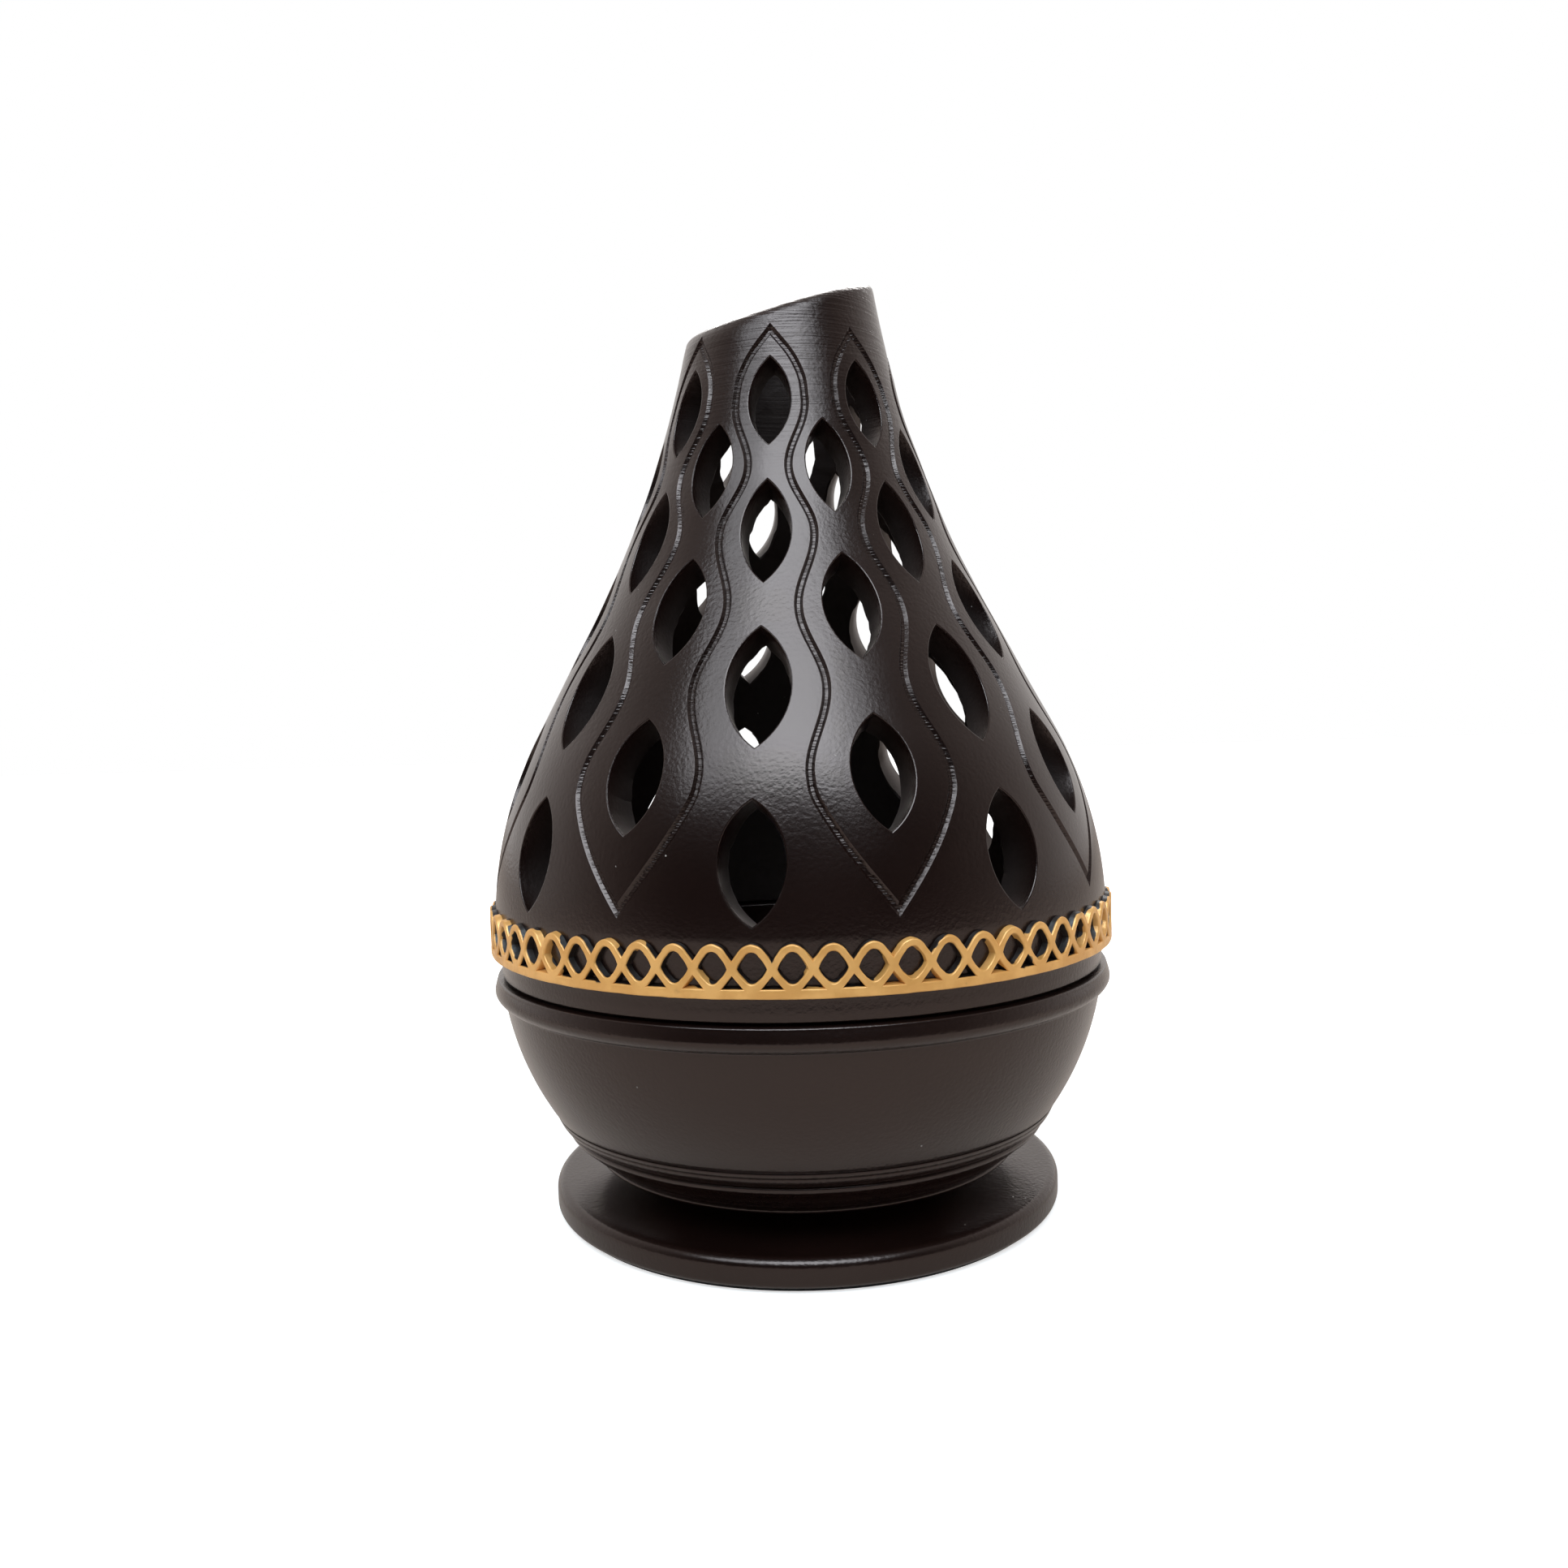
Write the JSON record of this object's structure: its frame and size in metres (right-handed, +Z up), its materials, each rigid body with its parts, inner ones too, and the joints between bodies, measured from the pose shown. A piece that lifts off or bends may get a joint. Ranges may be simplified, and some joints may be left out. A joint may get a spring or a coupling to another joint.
{
  "type": "incense burner",
  "caption": "Round incense burner: a turned bowl on a wide foot, a loose charcoal cup inside and a pierced dome with a slanted open mouth that lifts off.",
  "frame": {"origin": "middle of the underside of the felt pad under the foot", "axes": "+Z up through the middle of the foot, bowl and dome; the front of the object faces -Y; +X is to its right seen from the front"},
  "size_m": [0.093, 0.093, 0.1378],
  "materials": {
    "dark_casting": "satin",
    "gold_paint": "satin",
    "felt": "matte",
    "steel": "brushed",
    "insert_brass": "machined"
  },
  "bodies": {
    "base": {"felt_pad": "felt", "foot_disc": "dark_casting", "foot_screw": "steel", "screw_insert": "insert_brass", "fire_bowl": "dark_casting"},
    "cup": {"charcoal_cup": "steel"},
    "lid": {"smoke_lid": "dark_casting", "lattice_band": "gold_paint"}
  },
  "joints": [
    {"name": "cup_lift", "type": "slide", "parent": "base", "child": "cup", "axis": [0, 0, 1], "range_m": [0, 0.026]},
    {"name": "lid_lift", "type": "slide", "parent": "base", "child": "lid", "axis": [0, 0, 1], "range_m": [0, 0.06]}
  ]
}
